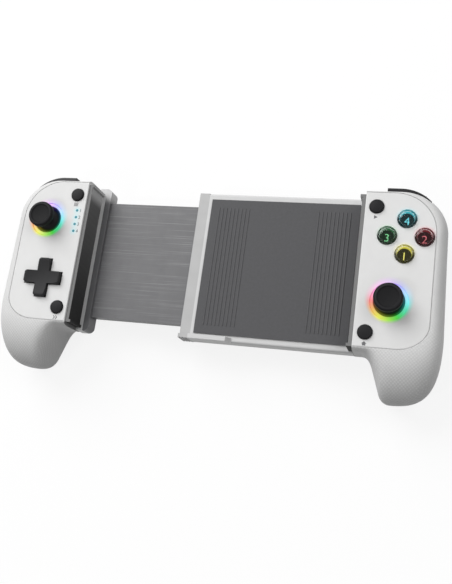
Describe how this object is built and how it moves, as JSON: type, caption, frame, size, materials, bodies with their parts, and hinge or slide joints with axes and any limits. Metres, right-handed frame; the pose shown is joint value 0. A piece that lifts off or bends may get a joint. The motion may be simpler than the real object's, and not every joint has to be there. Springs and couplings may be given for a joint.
{
  "type": "gamepad",
  "caption": "Stretching two-grip gamepad that holds a phone between its grips, with thumb sticks, direction cross, face buttons, bumpers and triggers.",
  "frame": {"origin": "middle of the floor under the gamepad as it lies on its back, with the grips 160 mm apart", "axes": "+X towards the right grip, +Y towards the shoulder buttons, +Z out of the face"},
  "size_m": [0.249, 0.1158, 0.045],
  "materials": {
    "white_face": "satin warm white, fine moulded grain",
    "grip_shell": "light grey, fine knurled texture",
    "silver_plastic": "silver grey satin",
    "dark_grey_plastic": "dark grey satin",
    "slide_plate_plastic": "dark grey, rubbed along the slide",
    "pad_rubber": "grey soft rubber",
    "cap_rubber": "black soft rubber",
    "mat_rubber": "milky silicone",
    "black_plastic": "charcoal black matt",
    "black_gloss": "black, half gloss",
    "clear_cap": "clear and polished",
    "core_yellow": "dark core, lit yellow",
    "core_red": "dark core, lit red",
    "core_green": "dark core, lit green",
    "core_cyan": "dark core, lit cyan",
    "ring_diffuser": "milky diffuser lit in all colours",
    "light_pipe": "clear light pipe, lit cyan",
    "steel": "plain steel",
    "circuit_board": "green solder mask",
    "battery_wrap": "blue foil wrap"
  },
  "bodies": {
    "right_grip": {"right_front_panel": "white_face", "right_front_shell": "grip_shell", "right_rear_shell": "grip_shell", "right_shell_screws": "steel", "right_board": "circuit_board", "right_button_mat": "mat_rubber", "right_light_ring": "ring_diffuser", "right_stick_housing": "black_plastic", "right_shoulder_pins": "steel", "charging_port": "steel", "bridge_front_cover": "silver_plastic", "bridge_rear_cover": "silver_plastic", "bridge_screws": "steel", "bridge_end_cap": "dark_grey_plastic", "bridge_pad": "pad_rubber", "retract_springs": "steel", "right_phone_pad": "pad_rubber"},
    "left_grip": {"left_front_panel": "white_face", "left_front_shell": "grip_shell", "left_rear_shell": "grip_shell", "left_shell_screws": "steel", "left_board": "circuit_board", "left_button_mat": "mat_rubber", "left_light_ring": "ring_diffuser", "left_stick_housing": "black_plastic", "dpad_post": "black_plastic", "left_shoulder_pins": "steel", "status_lights": "light_pipe", "battery": "battery_wrap", "slide_plate": "slide_plate_plastic", "bridge_stub": "silver_plastic", "bridge_stop": "dark_grey_plastic", "left_phone_pad": "pad_rubber"},
    "face_button_1": {"face_button_1_core": "core_yellow", "face_button_1_lens": "clear_cap"},
    "face_button_2": {"face_button_2_core": "core_red", "face_button_2_lens": "clear_cap"},
    "face_button_3": {"face_button_3_core": "core_green", "face_button_3_lens": "clear_cap"},
    "face_button_4": {"face_button_4_core": "core_cyan", "face_button_4_lens": "clear_cap"},
    "start_button": {"start_button": "black_plastic"},
    "home_button": {"home_button": "black_plastic"},
    "select_button": {"select_button": "black_plastic"},
    "turbo_button": {"turbo_button": "black_plastic"},
    "right_stick_carriage": {"right_stick_carriage": "black_plastic"},
    "right_stick_yoke": {"right_stick_yoke": "black_plastic"},
    "right_stick": {"right_stick_shaft": "black_plastic", "right_stick_cap": "cap_rubber"},
    "left_stick_carriage": {"left_stick_carriage": "black_plastic"},
    "left_stick_yoke": {"left_stick_yoke": "black_plastic"},
    "left_stick": {"left_stick_shaft": "black_plastic", "left_stick_cap": "cap_rubber"},
    "dpad_pivot": {"dpad_pivot": "steel"},
    "dpad": {"dpad": "black_plastic"},
    "right_bumper": {"right_bumper": "black_gloss"},
    "right_trigger": {"right_trigger": "black_gloss"},
    "left_bumper": {"left_bumper": "black_gloss"},
    "left_trigger": {"left_trigger": "black_gloss"}
  },
  "joints": [
    {"name": "bridge_slide", "type": "slide", "parent": "right_grip", "child": "left_grip", "axis": [1, 0, 0], "range_m": [-0.025, 0.055], "stiffness_N_per_m": 60, "springref_m": 0.117, "deforming": ["retract_springs"]},
    {"name": "face_button_1_press", "type": "slide", "parent": "right_grip", "child": "face_button_1", "axis": [0, 0, -1], "range_m": [0, 0.0012], "stiffness_N_per_m": 400, "springref_m": -0.001},
    {"name": "face_button_2_press", "type": "slide", "parent": "right_grip", "child": "face_button_2", "axis": [0, 0, -1], "range_m": [0, 0.0012], "stiffness_N_per_m": 400, "springref_m": -0.001},
    {"name": "face_button_3_press", "type": "slide", "parent": "right_grip", "child": "face_button_3", "axis": [0, 0, -1], "range_m": [0, 0.0012], "stiffness_N_per_m": 400, "springref_m": -0.001},
    {"name": "face_button_4_press", "type": "slide", "parent": "right_grip", "child": "face_button_4", "axis": [0, 0, -1], "range_m": [0, 0.0012], "stiffness_N_per_m": 400, "springref_m": -0.001},
    {"name": "start_button_press", "type": "slide", "parent": "right_grip", "child": "start_button", "axis": [0, 0, -1], "range_m": [0, 0.0008], "stiffness_N_per_m": 400, "springref_m": -0.001},
    {"name": "home_button_press", "type": "slide", "parent": "right_grip", "child": "home_button", "axis": [0, 0, -1], "range_m": [0, 0.0008], "stiffness_N_per_m": 400, "springref_m": -0.001},
    {"name": "select_button_press", "type": "slide", "parent": "left_grip", "child": "select_button", "axis": [0, 0, -1], "range_m": [0, 0.0008], "stiffness_N_per_m": 400, "springref_m": -0.001},
    {"name": "turbo_button_press", "type": "slide", "parent": "left_grip", "child": "turbo_button", "axis": [0, 0, -1], "range_m": [0, 0.0008], "stiffness_N_per_m": 400, "springref_m": -0.001},
    {"name": "right_stick_press", "type": "slide", "parent": "right_grip", "child": "right_stick_carriage", "axis": [0, 0, -1], "range_m": [0, 0.0005], "stiffness_N_per_m": 2000, "springref_m": -0.001},
    {"name": "right_stick_sideways", "type": "hinge", "parent": "right_stick_carriage", "child": "right_stick_yoke", "pos_m": [0.0966, -0.0078, 0.028], "axis": [0, 1, 0], "range_deg": [-20, 20], "stiffness_Nm_per_rad": 0.02},
    {"name": "right_stick_forward", "type": "hinge", "parent": "right_stick_yoke", "child": "right_stick", "pos_m": [0.0966, -0.0078, 0.028], "axis": [1, 0, 0], "range_deg": [-20, 20], "stiffness_Nm_per_rad": 0.02},
    {"name": "left_stick_press", "type": "slide", "parent": "left_grip", "child": "left_stick_carriage", "axis": [0, 0, -1], "range_m": [0, 0.0005], "stiffness_N_per_m": 2000, "springref_m": -0.001},
    {"name": "left_stick_sideways", "type": "hinge", "parent": "left_stick_carriage", "child": "left_stick_yoke", "pos_m": [-0.1023, 0.0273, 0.028], "axis": [0, 1, 0], "range_deg": [-20, 20], "stiffness_Nm_per_rad": 0.02},
    {"name": "left_stick_forward", "type": "hinge", "parent": "left_stick_yoke", "child": "left_stick", "pos_m": [-0.1023, 0.0273, 0.028], "axis": [1, 0, 0], "range_deg": [-20, 20], "stiffness_Nm_per_rad": 0.02},
    {"name": "dpad_rock_forward", "type": "hinge", "parent": "left_grip", "child": "dpad_pivot", "pos_m": [-0.0979, -0.0079, 0.0304], "axis": [1, 0, 0], "range_deg": [-2.5, 2.5], "stiffness_Nm_per_rad": 0.3},
    {"name": "dpad_rock_sideways", "type": "hinge", "parent": "dpad_pivot", "child": "dpad", "pos_m": [-0.0979, -0.0079, 0.0304], "axis": [0, 1, 0], "range_deg": [-2.5, 2.5], "stiffness_Nm_per_rad": 0.3},
    {"name": "right_bumper_press", "type": "hinge", "parent": "right_grip", "child": "right_bumper", "pos_m": [0.0926, 0.0512, 0.028], "axis": [0, 0, -1], "range_deg": [0, 2.5], "stiffness_Nm_per_rad": 1, "springref_deg": -1.15},
    {"name": "right_trigger_pull", "type": "hinge", "parent": "right_grip", "child": "right_trigger", "pos_m": [0.1008, 0.0444, 0.0185], "axis": [-1, 0, 0], "range_deg": [0, 10], "stiffness_Nm_per_rad": 0.1, "springref_deg": -5.73},
    {"name": "left_bumper_press", "type": "hinge", "parent": "left_grip", "child": "left_bumper", "pos_m": [-0.0926, 0.0512, 0.028], "axis": [0, 0, 1], "range_deg": [0, 2.5], "stiffness_Nm_per_rad": 1, "springref_deg": -1.15},
    {"name": "left_trigger_pull", "type": "hinge", "parent": "left_grip", "child": "left_trigger", "pos_m": [-0.1008, 0.0444, 0.0185], "axis": [-1, 0, 0], "range_deg": [0, 10], "stiffness_Nm_per_rad": 0.1, "springref_deg": -5.73}
  ]
}
